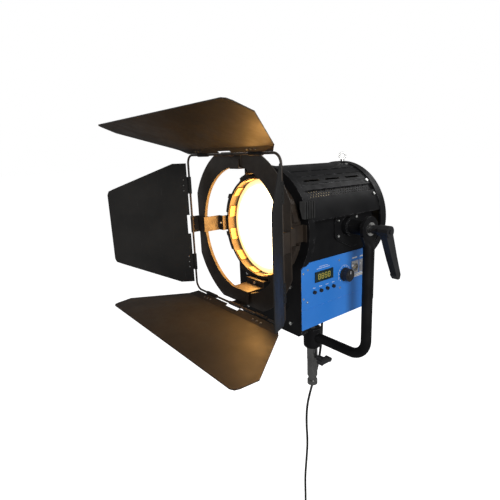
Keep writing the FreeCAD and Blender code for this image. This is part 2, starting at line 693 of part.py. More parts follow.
def make_focus():
    """Screw and knob that drive the light engine to and fro."""
    start = REAR_Y[1] - 7.5
    shaft = rod(4.0, (SCREW_X, 150.0, SCREW_Z), "Y", start + 6.0 - 150.0)
    thread = []
    for index in range(30):
        groove = tube(5.0, 3.6, (SCREW_X, 156.0 + index * 6.0, SCREW_Z), "Y", 1.2)
        thread.append(groove)
    save("focus_screw", shaft.cut(group(thread)))
    knob = rod(8.0, (SCREW_X, start, SCREW_Z), "Y", 20.0)
    notches = [spin(rod(1.2, (SCREW_X + 8.4, start + 4, SCREW_Z), "Y", 20), 30 * i,
                    (SCREW_X, 0, SCREW_Z)) for i in range(12)]
    bore = rod(4.0, (SCREW_X, start - 1, SCREW_Z), "Y", 7.0)
    save("focus_knob", knob.cut(group(notches)).cut(bore))


def make_fan():
    y0, y1 = 322.0, 342.0
    frame = box((-60, 60), (y0, y1), (-60, 60)).cut(rod(56.5, (0, y0, 0), "Y", 20))
    hub = rod(18.0, (0, y0, 0), "Y", 5.0)
    struts = [spin(box((-2, 2), (y0, y0 + 3), (10, 58)), 90 * i + 45) for i in range(4)]
    pin = rod(2.0, (0, y0, 0), "Y", 18.0)
    posts = [rod(4.0, (x, y1 - 1, z), "Y", REAR_Y[1] - 2.0 - y1) for x in (-52, 52) for z in (-52, 52)]
    save("fan_frame", fuse([frame, hub, pin] + struts + posts))
    rotor = rod(18.0, (0, y0 + 6.0, 0), "Y", 13.0)
    for index in range(7):
        blade = box((-1.0, 1.0), (y0 + 6.5, y0 + 18.0), (17.0, 54.0))
        blade = spin(blade, 28.0, (0, y0 + 12, 0), "Z")
        rotor = rotor.fuse(spin(blade, index * 360.0 / 7))
    save("fan_rotor", rotor.cut(rod(2.0 + RUNNING, (0, y0, 0), "Y", 30)))


# ---------- trunnions, yoke and spud ----------

def make_trunnions():
    start = BOX_X
    outline = [(205.0, 12.0), (212.0, 20.0), (282.0, 20.0), (290.0, 10.0), (290.0, -22.0),
               (304.0, -44.0), (300.0, -58.0), (262.0, -58.0), (212.0, -34.0), (205.0, -26.0)]
    plate = prism(outline, "X", (start, start + 4.0))
    boss = rod(17.0, (start, TILT_Y, TILT_Z), "X", 166.0 - start)
    collar = rod(22.0, (start, TILT_Y, TILT_Z), "X", 18.0)
    trunnion = fuse([plate, boss, collar])
    trunnion = trunnion.cut(rod(BOLT_R, (start, TILT_Y, TILT_Z), "X", 80))
    save("trunnions", group([trunnion, mirrored(trunnion)]))
    disc = tube(15.0, BOLT_R, (166.0, TILT_Y, TILT_Z), "X", YOKE_X - PADDLE_T / 2 - 166.3)
    save("friction_discs", group([disc, mirrored(disc)]))
    bolt = rod(BOLT_R, (BOX_X - 12.0, TILT_Y, TILT_Z), "X", 216.0 - BOX_X + 12.0)
    head = rod(11.0, (BOX_X - 9.0, TILT_Y, TILT_Z), "X", 7.0)
    bolt = bolt.fuse(head)
    save("tilt_bolts", group([bolt, mirrored(bolt)]))


def trunnion_screw_heads():
    places = ((216.0, 10.0), (216.0, -26.0), (284.0, -24.0), (280.0, 12.0))
    heads = [screw(3.2, 2.4, (BOX_X + 4.0, y, z), "X") for y, z in places]
    return heads + [mirrored(head) for head in heads]


def make_screws():
    heads = ear_screw_heads() + casing_screw_heads() + panel_screw_heads()
    save("casing_screws", group(heads + shell_screw_heads() + trunnion_screw_heads()))


def make_tilt_lever():
    """Ratchet clamp handle on the right-hand bolt."""
    x0 = YOKE_X + PADDLE_T / 2 + 2.5
    y, z = TILT_Y, TILT_Z
    hub = rod(10.0, (x0 + 4.0, y, z), "X", 34.0)
    neck = rod(8.0, (x0, y, z), "X", 6.0)
    cap = rod(12.5, (x0 + 22.0, y, z), "X", 26.0)
    arm = prism([(-11.5, 0.0), (12.5, 0.0), (9.5, -70.0), (9.0, -118.0), (3.0, -126.0),
                 (-4.0, -124.0), (-8.0, -112.0), (-6.0, -108.0), (-9.0, -70.0)], "X",
                (x0 + 28.0, x0 + 44.0))
    arm = moved(spin(arm, 22.0, axis="X"), 0, y, z)
    handle = fuse([hub, neck, cap, arm])
    handle = handle.cut(rod(BOLT_R + RUNNING, (x0 - 1, y, z), "X", 216.5 - x0 + 1))
    button = rod(5.0, (x0 + 48.0, y, z), "X", 2.5)
    save("tilt_lever", group([handle, button]))


def make_tilt_knob():
    """Round knob on the left-hand bolt."""
    x0 = YOKE_X + PADDLE_T / 2 + 2.5
    knob = rod(24.0, (x0 + 10.0, TILT_Y, TILT_Z), "X", 18.0)
    lobes = [spin(rod(7.0, (x0 + 9.0, TILT_Y + 27.0, TILT_Z), "X", 20), 60 * i,
                  (0, TILT_Y, TILT_Z), "X") for i in range(6)]
    knob = knob.cut(group(lobes)).fuse(rod(12.0, (x0, TILT_Y, TILT_Z), "X", 12.0))
    save("tilt_knob", mirrored(knob.cut(rod(BOLT_R + RUNNING, (x0, TILT_Y, TILT_Z), "X", 40))))


def make_yoke():
    top = TILT_Z - 40.0
    low = BAR_Z + BEND_R
    leg = rod(TUBE_R, (YOKE_X, TILT_Y, low), "Z", top - low)
    bend = moved(spin(elbow(BEND_R, TUBE_R), 90.0), YOKE_X - BEND_R, TILT_Y, low)
    bar_half = YOKE_X - BEND_R
    half = PADDLE_T / 2
    taper = Part.makeLoft([Part.Wire(Part.makeCircle(TUBE_R, vec(YOKE_X, TILT_Y, top), vec(0, 0, 1))),
                           paddle_section(TILT_Z - 16.0)], True)
    paddle = rod(PADDLE_R, (YOKE_X - half, TILT_Y, TILT_Z), "X", PADDLE_T)
    side = fuse([leg, bend, taper, paddle])
    bar = rod(TUBE_R, (-bar_half, TILT_Y, BAR_Z), "X", 2 * bar_half)
    yoke = fuse([side, mirrored(side), bar])
    yoke = yoke.cut(rod(BOLT_R + RUNNING, (-250, TILT_Y, TILT_Z), "X", 500))
    boss_hole = rod(9.0, (0, TILT_Y, BAR_Z - 20), "Z", 60)
    save("yoke_tube", yoke.cut(boss_hole))
    washers = []
    for x in (YOKE_X + half, -YOKE_X - half - 2.0):
        washers.append(tube(15.0, BOLT_R + RUNNING, (x, TILT_Y, TILT_Z), "X", 2.0))
    save("yoke_washers", group(washers))


def paddle_section(z):
    half = PADDLE_T / 2
    wide = 26.0
    corners = [vec(YOKE_X - half, TILT_Y - wide, z), vec(YOKE_X + half, TILT_Y - wide, z),
               vec(YOKE_X + half, TILT_Y + wide, z), vec(YOKE_X - half, TILT_Y + wide, z)]
    return Part.makePolygon(corners + corners[:1])


def make_spud():
    boss = rod(BOSS_R, (0, TILT_Y, BOSS_Z[0]), "Z", BOSS_Z[1] - BOSS_Z[0])
    edge = [e for e in boss.Edges if abs(e.BoundBox.ZMax - BOSS_Z[0]) < 0.1]
    boss = boss.makeFillet(8.0, edge)
    boss = boss.cut(rod(TUBE_R, (-60, TILT_Y, BAR_Z), "X", 120))
    boss = boss.cut(rod(9.0, (0, TILT_Y, BOSS_Z[0] - 1), "Z", 80))
    save("receiver_boss", boss)
    spud = rod(SPUD_R, (0, TILT_Y, SPUD_Z[0]), "Z", SPUD_Z[1] - SPUD_Z[0])
    shank = rod(9.0, (0, TILT_Y, SPUD_Z[1]), "Z", BOSS_Z[1] - SPUD_Z[1])
    collar = rod(SPUD_COLLAR_R, (0, TILT_Y, SPUD_COLLAR_Z), "Z", SPUD_Z[1] - SPUD_COLLAR_Z)
    spud = fuse([spud, shank, collar])
    spud = spud.cut(tube(SPUD_R + 2, SPUD_R - 2.5, (0, TILT_Y, SPUD_Z[0] + 12), "Z", 14.0))
    spud = spud.cut(rod(BABY_R, (0, TILT_Y, SPUD_Z[0]), "Z", BABY_DEPTH))
    save("mounting_spud", spud.cut(rod(4.0, (0, TILT_Y, KNOB_Z), "X", 30)))


def make_spud_knob():
    shaft = rod(4.0 - RUNNING, (9.0, TILT_Y, KNOB_Z), "X", 16.0)
    collar = rod(8.0, (22.0, TILT_Y, KNOB_Z), "X", 16.0)
    wing = box((36.0, 52.0), (TILT_Y - 16, TILT_Y + 16), (KNOB_Z - 5, KNOB_Z + 5))
    ends = [rod(6.5, (36.0, TILT_Y + s * 15, KNOB_Z), "X", 16.0) for s in (-1, 1)]
    save("spud_lock_knob", fuse([shaft, collar, wing] + ends))


def make_catch():
    """Ribbed sliding catch that locks the front casing."""
    block = box(CATCH_X, CATCH_Y, CATCH_Z)
    for index in range(4):
        start = CATCH_Y[0] + 4.0 + CATCH_RIB_PITCH * index
        groove = box((CATCH_X[1] - 2.5, CATCH_X[1] + 1.0), (start, start + 2.5),
                     (CATCH_Z[0] - 1.0, CATCH_Z[1] + 1.0))
        block = block.cut(groove)
    block = block.cut(rod(CASING_R + 0.4, (0, CATCH_Y[0] - 5.0, 0), "Y", 60))
    save("casing_catch", block)


# ---------- power cord ----------

def route_tube(points, radius):
    """Round tube of straight runs joined by tangent arcs."""
    points = [vec(*p) for p in points]
    edges = []
    start = points[0]
    for before, corner, after in zip(points, points[1:], points[2:]):
        into = corner - before
        out = after - corner
        turn = into.getAngle(out)
        short = min(into.Length, out.Length)
        bend = 0.45 * short / math.tan(turn / 2)
        reach = 0.45 * short
        u, v = into / into.Length, out / out.Length
        first, last = corner - u * reach, corner + v * reach
        centre_way = (v - u) / (v - u).Length
        centre = corner + centre_way * (bend / math.cos(turn / 2))
        middle = centre - centre_way * bend
        edges.append(Part.LineSegment(start, first).toShape())
        edges.append(Part.Arc(first, middle, last).toShape())
        start = last
    edges.append(Part.LineSegment(start, points[-1]).toShape())
    path = Part.Wire(edges)
    way = points[1] - points[0]
    section = Part.Wire(Part.makeCircle(radius, points[0], way))
    return path.makePipeShell([section], True, False)


def make_cord():
    x, y = CORD_EXIT
    bottom = BOX_Z - 2.0
    gland = tube(9.0, CORD_R, (x, y, bottom - 6.0), "Z", 6.0)
    gland = gland.fuse(tube(6.0, CORD_R, (x, y, bottom - 6.0), "Z", 14.0))
    relief = Part.makeCone(4.6, 7.0, 32.0, vec(x, y, bottom - 38.0), vec(0, 0, 1))
    relief = relief.cut(rod(CORD_R, (x, y, bottom - 38.0), "Z", 32.0))
    save("cable_gland", group([gland, relief]))
    upper = rod(CORD_R, (x, y, UPPER_END_Z), "Z", bottom - UPPER_END_Z + 20.0)
    save("cord_upper", upper)
    save("cord_hanging", route_tube(CORD_ROUTE, CORD_R))
    end_x, end_y, end_z = CORD_ROUTE[-1]
    centre = (end_x + COIL_R, end_y, end_z - COIL_R * 0.5)
    height, half = COIL_BAND
    coil = tube(COIL_R + height, COIL_R - height, (centre[0], end_y - half, centre[2]), "Y", 2 * half)
    coil = coil.cut(rod(CORD_R, (end_x, end_y, end_z), "Z", 60))
    plug_x = end_x
    plug_top = centre[2] - COIL_R
    tail = rod(CORD_R, (plug_x, end_y, plug_top), "Z", COIL_R)
    save("cord_coil", coil.fuse(tail).removeSplitter())
    body = Part.makeCone(13.0, 7.0, PLUG_LENGTH - 8, vec(plug_x, end_y, plug_top - PLUG_LENGTH + 8),
                         vec(0, 0, 1))
    face = rod(17.0, (plug_x, end_y, plug_top - PLUG_LENGTH), "Z", 8.0)
    pins = [rod(2.4, (plug_x + s * 9.5, end_y, plug_top - PLUG_LENGTH - 19), "Z", 19.0)
            for s in (-1, 1)]
    save("mains_plug", fuse([body, face] + pins))


def main():
    os.makedirs("parts", exist_ok=True)
    for make in (make_leaves, make_rod_frame, make_ring_plate, make_ring_straps, make_lens,
                 make_bezel, make_lens_clips, make_holder, make_casing,
                 make_barrel, make_side_shells, make_vent_meshes, make_housing, make_panels,
                 make_controls, make_sockets, make_control_board, make_driver, make_rear_cover,
                 make_switch, make_eyebolt, make_engine, make_guides, make_focus, make_fan,
                 make_trunnions, make_screws, make_tilt_lever, make_tilt_knob, make_yoke, make_spud,
                 make_spud_knob, make_catch, make_cord):
        make()


main()
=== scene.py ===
"""Looks for the fresnel spotlight: materials, printed marks, cord, camera and light."""
import json
import math

import bpy
from mathutils import Matrix, Vector

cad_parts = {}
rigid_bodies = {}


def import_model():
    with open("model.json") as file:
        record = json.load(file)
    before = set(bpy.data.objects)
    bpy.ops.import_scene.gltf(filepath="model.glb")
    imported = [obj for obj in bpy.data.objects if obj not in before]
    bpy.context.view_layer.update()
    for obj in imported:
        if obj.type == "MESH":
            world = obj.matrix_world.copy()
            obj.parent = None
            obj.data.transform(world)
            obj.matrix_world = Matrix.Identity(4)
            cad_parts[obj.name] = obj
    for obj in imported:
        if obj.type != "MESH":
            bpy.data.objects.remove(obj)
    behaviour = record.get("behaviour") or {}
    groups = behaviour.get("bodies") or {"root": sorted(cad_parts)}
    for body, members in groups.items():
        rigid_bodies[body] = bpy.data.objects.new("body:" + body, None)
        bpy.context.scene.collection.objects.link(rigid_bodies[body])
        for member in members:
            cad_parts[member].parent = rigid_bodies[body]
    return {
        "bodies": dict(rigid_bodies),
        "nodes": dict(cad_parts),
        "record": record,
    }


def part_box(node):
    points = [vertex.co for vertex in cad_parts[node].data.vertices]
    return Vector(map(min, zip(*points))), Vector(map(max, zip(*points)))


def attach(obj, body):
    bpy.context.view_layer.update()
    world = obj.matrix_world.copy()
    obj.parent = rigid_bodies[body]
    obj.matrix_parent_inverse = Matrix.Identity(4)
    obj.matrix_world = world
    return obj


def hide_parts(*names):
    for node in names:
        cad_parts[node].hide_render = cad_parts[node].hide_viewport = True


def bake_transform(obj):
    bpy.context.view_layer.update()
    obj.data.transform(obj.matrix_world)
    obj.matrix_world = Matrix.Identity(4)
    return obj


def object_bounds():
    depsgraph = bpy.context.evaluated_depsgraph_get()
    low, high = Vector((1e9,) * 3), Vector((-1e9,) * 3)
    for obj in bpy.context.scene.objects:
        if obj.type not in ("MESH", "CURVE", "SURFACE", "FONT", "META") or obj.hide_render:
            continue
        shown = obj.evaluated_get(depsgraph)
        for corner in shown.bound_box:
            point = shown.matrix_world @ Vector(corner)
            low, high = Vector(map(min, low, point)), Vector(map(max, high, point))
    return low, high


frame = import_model()
cad_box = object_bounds()
NODES = frame["nodes"]

AXIS_Z = 0.395             # optical axis above the row's origin
ROD_Y = -0.248             # hinge rods, ahead of the spud
PANEL_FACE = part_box("control_panel")[1].x - 0.0006
MARK = 0.0002              # thickness of printed ink

SEGMENTS = {"0": "abcdef", "5": "afgcd", "8": "abcdefg"}
DISPLAY_TEXT = "0850"
DIGIT_HEIGHT = 0.0125

BEZEL_INSIDE = 0.1125       # between the clips inside and the arcs outside
LENS_RADIUS = 0.111
BEAM_POWER = 3.0           # watts, the warm light on the barn doors
LENS_GLOW = 4.2           # emission of the glowing lens

SHADED = ("floor", "leaf_left", "leaf_left_rivets")   # outside the warm beam
SKY_LIGHT = 0.24           # strength of the white surroundings as a light

CAMERA_LENS = 29.2
CAMERA_SHIFT = (-0.0243, -0.0014)
CAMERA_PLACE = (0.7093, -0.7380, 0.5617)
CAMERA_FORWARD = (-0.756, 0.6117, -0.2329)
CAMERA_UP = (-0.159, 0.1736, 0.9719)
LIGHT_TARGET = (0.0, 0.0, 0.35)
LAMPS = {                  # place, size in metres and power in watts
    "key": ((2.5, -1.1, 1.2), 1.6, 72),
    "fill": ((-2.2, -1.4, 1.6), 2.0, 12),
    "rim": ((0.6, 2.4, 2.0), 1.4, 22)}
FLOOR_HALF = 40.0
FLOOR_DROP = 0.004         # floor below the lowest point of the object
FLOOR_GLOW = 0.80

CORD_RADIUS = 0.0035
CORD_ROUTE = [
    (-0.035, 0.078, 0.133), (-0.035, 0.078, 0.105), (-0.035, 0.077, 0.047),
    (-0.037, 0.073, -0.013), (-0.044, 0.064, -0.075), (-0.057, 0.053, -0.137),
    (-0.070, 0.048, -0.201), (-0.075, 0.050, -0.267), (-0.073, 0.053, -0.333),
    (-0.076, 0.050, -0.399), (-0.081, 0.048, -0.467), (-0.082, 0.050, -0.535),
    (-0.082, 0.050, -0.588)]
COIL_CENTRE = (-0.043, 0.050, -0.6195)
COIL_RADIUS = 0.039
COIL_TURNS = 7
COIL_POINTS = 16           # control points in one turn
COIL_LAYERS = [(0.0, 0.0), (0.0, 0.007), (0.006, 0.0035), (0.0, -0.007), (-0.006, -0.0035),
               (-0.006, 0.0035), (0.006, -0.0035)]


# ---------- node helpers ----------

class Shader:
    """A material's node tree, with short calls for the nodes that the materials share."""

    def __init__(self, name, roughness=0.5, metallic=0.0, **sockets):
        self.material = bpy.data.materials.new(name)
        self.material.use_nodes = True
        self.tree = self.material.node_tree
        self.bsdf = self.tree.nodes["Principled BSDF"]
        self.bsdf.inputs["Roughness"].default_value = roughness
        self.bsdf.inputs["Metallic"].default_value = metallic
        for key, value in sockets.items():
            self.bsdf.inputs[key.replace("_", " ")].default_value = value
        self.place = self.add("ShaderNodeTexCoord").outputs["Object"]

    def add(self, kind, **settings):
        node = self.tree.nodes.new(kind)
        for key, value in settings.items():
            setattr(node, key, value)
        return node

    def join(self, source, target):
        self.tree.links.new(source, target)

    def stretched(self, scale):
        node = self.add("ShaderNodeMapping")
        node.inputs["Scale"].default_value = scale
        self.join(self.place, node.inputs["Vector"])
        return node.outputs["Vector"]

    def noise(self, scale, detail=4.0, rough=0.55, vector=None):
        node = self.add("ShaderNodeTexNoise")
        node.inputs["Scale"].default_value = scale
        node.inputs["Detail"].default_value = detail
        node.inputs["Roughness"].default_value = rough
        self.join(vector or self.place, node.inputs["Vector"])
        return node.outputs["Fac"]

    def ramp(self, fac, stops):
        node = self.add("ShaderNodeValToRGB")
        elements = node.color_ramp.elements
        while len(elements) < len(stops):
            elements.new(0.5)
        for element, (place, colour) in zip(elements, stops):
            element.position = place
            element.color = colour if len(colour) == 4 else (*colour, 1.0)
        self.join(fac, node.inputs["Fac"])
        return node.outputs["Color"]

    def level(self, fac, low, high, out_low, out_high):
        node = self.add("ShaderNodeMapRange")
        for name, value in zip(("From Min", "From Max", "To Min", "To Max"),
                               (low, high, out_low, out_high)):
            node.inputs[name].default_value = value
        self.join(fac, node.inputs["Value"])
        return node.outputs["Result"]

    def maths(self, operation, first, second):
        node = self.add("ShaderNodeMath", operation=operation)
        for socket, value in zip(node.inputs, (first, second)):
            if isinstance(value, (int, float)):
                socket.default_value = value
            else:
                self.join(value, socket)
        return node.outputs[0]

    def mix(self, fac, first, second):
        node = self.add("ShaderNodeMix", data_type="RGBA")
        self.join(fac, node.inputs["Factor"])
        for key, value in (("A", first), ("B", second)):
            socket = [s for s in node.inputs if s.name == key and s.type == "RGBA"][0]
            if isinstance(value, tuple):
                socket.default_value = (*value, 1.0)
            else:
                self.join(value, socket)
        return [s for s in node.outputs if s.type == "RGBA"][0]

    def worn_edges(self, radius=0.0012, low=0.04, high=0.22):
        """1 on sharp outer edges, broken up by noise, and 0 on flat faces."""
        bevel = self.add("ShaderNodeBevel", samples=4)
        bevel.inputs["Radius"].default_value = radius
        normal = self.add("ShaderNodeNewGeometry").outputs["Normal"]
        dot = self.add("ShaderNodeVectorMath", operation="DOT_PRODUCT")
        self.join(bevel.outputs["Normal"], dot.inputs[0])
        self.join(normal, dot.inputs[1])
        bent = self.maths("SUBTRACT", 1.0, dot.outputs["Value"])
        edge = self.level(bent, low, high, 0.0, 1.0)
        return self.maths("MULTIPLY", edge, self.level(self.noise(60, 6), 0.48, 0.62, 0.0, 1.0))

    def colour(self, value):
        self.join(value, self.bsdf.inputs["Base Color"])

    def roughness(self, value):
        self.join(value, self.bsdf.inputs["Roughness"])

    def bump(self, height, strength, distance=0.001):
        node = self.add("ShaderNodeBump")
        node.inputs["Strength"].default_value = strength
        node.inputs["Distance"].default_value = distance
        self.join(height, node.inputs["Height"])
        self.join(node.outputs["Normal"], self.bsdf.inputs["Normal"])


# ---------- materials ----------

def powder_coat(name, dark, light, worn=(0.16, 0.16, 0.165), roughness=0.42):
    """Fine-textured paint with a faint dust mottle and rubbed edges."""
    s = Shader(name, roughness, Specular_IOR_Level=0.09)
    mottle = s.ramp(s.noise(14, 5, 0.6), [(0.35, dark), (0.7, light)])
    s.colour(s.mix(s.worn_edges(), mottle, worn))
    s.roughness(s.level(s.noise(38, 6, 0.65), 0.3, 0.7, roughness - 0.08, roughness + 0.12))
    s.bump(s.noise(1500, 2, 0.5), 0.12, 0.0004)
    return s.material


def leaf_paint():
    """Matte black paint on sheet, with long handling scratches and cloudy wear."""
    s = Shader("leaf_paint", 0.5, Specular_IOR_Level=0.09)
    cloud = s.ramp(s.noise(9, 6, 0.62), [(0.32, (0.012, 0.012, 0.012)), (0.72, (0.022, 0.021, 0.020))])
    streak = s.noise(40, 3, 0.5, s.stretched((1.0, 9.0, 0.6)))
    scratch = s.level(streak, 0.69, 0.74, 0.0, 0.35)
    s.colour(s.mix(scratch, cloud, (0.05, 0.05, 0.048)))
    s.roughness(s.level(s.noise(22, 6, 0.7), 0.3, 0.7, 0.42, 0.58))
    s.bump(s.noise(900, 3, 0.6), 0.10, 0.0003)
    return s.material


def holder_paint():
    """Black paint browned by the heat near the lens."""
    s = Shader("holder_paint", 0.5, Specular_IOR_Level=0.35)
    mottle = s.noise(26, 5, 0.6)
    s.colour(s.ramp(mottle, [(0.3, (0.016, 0.011, 0.008)), (0.75, (0.034, 0.024, 0.016))]))
    s.roughness(s.level(s.noise(60, 5, 0.6), 0.3, 0.7, 0.38, 0.6))
    s.bump(s.noise(1100, 3, 0.5), 0.10, 0.0003)
    return s.material


def panel_paint():
    """Satin blue paint with a faint orange-peel skin."""
    s = Shader("panel_paint", 0.36, Coat_Weight=0.25, Coat_Roughness=0.25)
    blue = s.ramp(s.noise(7, 4, 0.5), [(0.3, (0.018, 0.160, 0.54)), (0.75, (0.025, 0.192, 0.62))])
    s.colour(s.mix(s.worn_edges(0.0009), blue, (0.18, 0.28, 0.50)))
    s.roughness(s.level(s.noise(90, 5, 0.6), 0.3, 0.7, 0.30, 0.44))
    s.bump(s.noise(420, 2, 0.4), 0.06, 0.0004)
    return s.material


def brushed(name, dark, light, roughness, stretch=(1.0, 1.0, 0.06)):
    s = Shader(name, roughness, metallic=1.0)
    grain = s.noise(900, 3, 0.6, s.stretched(stretch))
    stain = s.noise(30, 5, 0.6)
    s.colour(s.mix(s.level(stain, 0.35, 0.75, 0.0, 0.6), light, dark))
    s.roughness(s.level(grain, 0.3, 0.7, roughness - 0.09, roughness + 0.12))
    s.bump(grain, 0.10, 0.0002)
    return s.material


def plastic(name, dark, light, roughness=0.45, grain=1300, depth=0.14):
    s = Shader(name, roughness, Specular_IOR_Level=0.35)
    s.colour(s.ramp(s.noise(24, 4, 0.6), [(0.3, dark), (0.75, light)]))
    s.roughness(s.level(s.noise(70, 5, 0.6), 0.3, 0.7, roughness - 0.06, roughness + 0.10))
    s.bump(s.noise(grain, 2, 0.5), depth, 0.0003)
    return s.material


def radius_from_axis(s):
    """Distance from the optical axis, in metres."""
    parts = s.add("ShaderNodeSeparateXYZ")
    s.join(s.place, parts.inputs["Vector"])
    up = s.maths("SUBTRACT", parts.outputs["Z"], AXIS_Z)
    squares = s.maths("ADD", s.maths("POWER", parts.outputs["X"], 2.0), s.maths("POWER", up, 2.0))
    return s.maths("SQRT", squares, 0.5)


def lens_glass():
    """Stepped glass, glowing warm white and yellower towards the rim."""
    s = Shader("lens_glass", 0.12, Specular_IOR_Level=0.6)
    radius = radius_from_axis(s)
    s.colour(s.ramp(s.level(radius, 0.0, LENS_RADIUS, 0.0, 1.0),
                    [(0.0, (1.0, 0.97, 0.90)), (1.0, (0.95, 0.78, 0.50))]))
    tint = s.ramp(s.level(radius, 0.0, LENS_RADIUS, 0.0, 1.0),
                  [(0.0, (1.0, 0.86, 0.62)), (0.75, (1.0, 0.78, 0.46)), (1.0, (1.0, 0.58, 0.20))])
    s.join(tint, s.bsdf.inputs["Emission Color"])
    ripple = s.level(s.noise(55, 2, 0.5), 0.3, 0.7, 0.9, 1.1)
    fall = s.level(radius, 0.070, LENS_RADIUS, LENS_GLOW, LENS_GLOW * 0.32)
    s.join(s.maths("MULTIPLY", fall, ripple), s.bsdf.inputs["Emission Strength"])
    s.bump(s.noise(500, 2, 0.5), 0.05, 0.0003)
    return s.material


def glow(name, colour, strength):
    """Glowing part with slightly uneven brightness; on the unlit display bars this glow is painted
    light.
    """
    s = Shader(name, 0.3)
    s.bsdf.inputs["Base Color"].default_value = (*[c * 0.4 for c in colour], 1.0)
    s.bsdf.inputs["Emission Color"].default_value = (*colour, 1.0)
    s.join(s.level(s.noise(400, 3, 0.5), 0.3, 0.7, strength * 0.8, strength * 1.15),
           s.bsdf.inputs["Emission Strength"])
    return s.material


def ink(name, colour):
    """Screen-printed ink, slightly broken."""
    s = Shader(name, 0.6)
    faded = tuple(c * 0.72 for c in colour)
    s.colour(s.mix(s.level(s.noise(700, 4, 0.6), 0.45, 0.7, 0.0, 1.0), colour, faded))
    s.roughness(s.level(s.noise(300, 4, 0.6), 0.3, 0.7, 0.5, 0.7))
    s.bump(s.noise(2000, 2, 0.5), 0.05, 0.0001)
    return s.material


def circuit():
    """Green solder mask with paler track lines."""
    s = Shader("circuit", 0.4)
    grid = s.noise(260, 1, 0.3, s.stretched((1.0, 1.0, 0.12)))
    s.colour(s.mix(s.level(grid, 0.55, 0.58, 0.0, 1.0), (0.012, 0.085, 0.035), (0.05, 0.20, 0.09)))
    s.roughness(s.level(s.noise(120, 4, 0.5), 0.3, 0.7, 0.3, 0.5))
    s.bump(grid, 0.15, 0.0003)
    return s.material


def fibre():
    s = Shader("friction_fibre", 0.85)
    s.colour(s.ramp(s.noise(420, 6, 0.7), [(0.3, (0.16, 0.11, 0.06)), (0.7, (0.34, 0.25, 0.16))]))
    s.roughness(s.level(s.noise(200, 4, 0.6), 0.3, 0.7, 0.75, 0.95))
    s.bump(s.noise(900, 5, 0.7), 0.35, 0.0005)
    return s.material


def make_materials():
    black = (0.005, 0.005, 0.0055)
    soft_black = (0.010, 0.010, 0.0105)
    return {
        "black_powder": powder_coat("black_powder", black, soft_black),
        "barn_door_black": leaf_paint(),
        "holder_brown": holder_paint(),
        "panel_blue": panel_paint(),
        "raw_steel": brushed("raw_steel", (0.10, 0.10, 0.10), (0.26, 0.26, 0.255), 0.30),
        "dark_steel": brushed("dark_steel", (0.05, 0.05, 0.05), (0.12, 0.12, 0.12), 0.38),
        "zinc_screws": brushed("zinc_screws", (0.55, 0.55, 0.53), (0.82, 0.82, 0.80), 0.24),
        "cast_aluminium": brushed("cast_aluminium", (0.46, 0.46, 0.47), (0.72, 0.72, 0.73), 0.34,
                                  (1.0, 1.0, 1.0)),
        "anodised": brushed("anodised", (0.16, 0.16, 0.17), (0.30, 0.30, 0.31), 0.36),
        "lens_glass": lens_glass(),
        "reflector": brushed("reflector", (0.70, 0.69, 0.66), (0.90, 0.89, 0.86), 0.14),
        "emitter": glow("emitter", (1.0, 0.72, 0.32), 3.0),
        "circuit_green": circuit(),
        "display_black": plastic("display_window", (0.008, 0.020, 0.021), (0.013, 0.030, 0.032), 0.16,
                                 600, 0.03),
        "white_plastic": plastic("white_plastic", (0.62, 0.62, 0.60), (0.78, 0.78, 0.76), 0.4),
        "black_plastic": plastic("black_plastic", (0.009, 0.009, 0.010), (0.020, 0.020, 0.022), 0.38),
        "black_rubber": plastic("black_rubber", (0.010, 0.010, 0.010), (0.022, 0.022, 0.021), 0.58, 900,
                                0.22),
        "friction_fibre": fibre(),
    }


def dress_nodes(materials):
    """Gives each CAD node the material of its slot, or its own tint of it."""
    # The lens clips' gold-brown tint is painted light: it stands in for the lamp's warm glow on them.
    own = {"lens_clips": brushed("clip_steel_painted_lamp_glow", (0.10, 0.065, 0.035), (0.24, 0.165, 0.09), 0.46)}
    for part in frame["record"]["subparts"]:
        node = NODES[part["node"]]
        node.data.materials.clear()
        node.data.materials.append(own.get(part["node"], materials[part["material_slot"]]))
    darken_springs(materials["holder_brown"])


def darken_springs(paint):
    """The arcs outside the bezel are painted; the clips inside it are steel, tinted gold-brown as
    painted warm lamp light.
    """
    mesh = NODES["lens_clips"].data
    mesh.materials.append(paint)
    for polygon in mesh.polygons:
        reach = math.hypot(polygon.center.x, polygon.center.z - AXIS_Z)
        if reach > BEZEL_INSIDE:
            polygon.material_index = 1


# ---------- mesh helpers ----------

def piece(name, vertices, faces, material, body, smooth=False):
    mesh = bpy.data.meshes.new(name)
    mesh.from_pydata([tuple(v) for v in vertices], [], faces)
    mesh.update()
    obj = bpy.data.objects.new(name, mesh)
    bpy.context.scene.collection.objects.link(obj)
    mesh.materials.append(material)
    for polygon in mesh.polygons:
        polygon.use_smooth = smooth
    if body:
        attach(obj, body)
    return obj


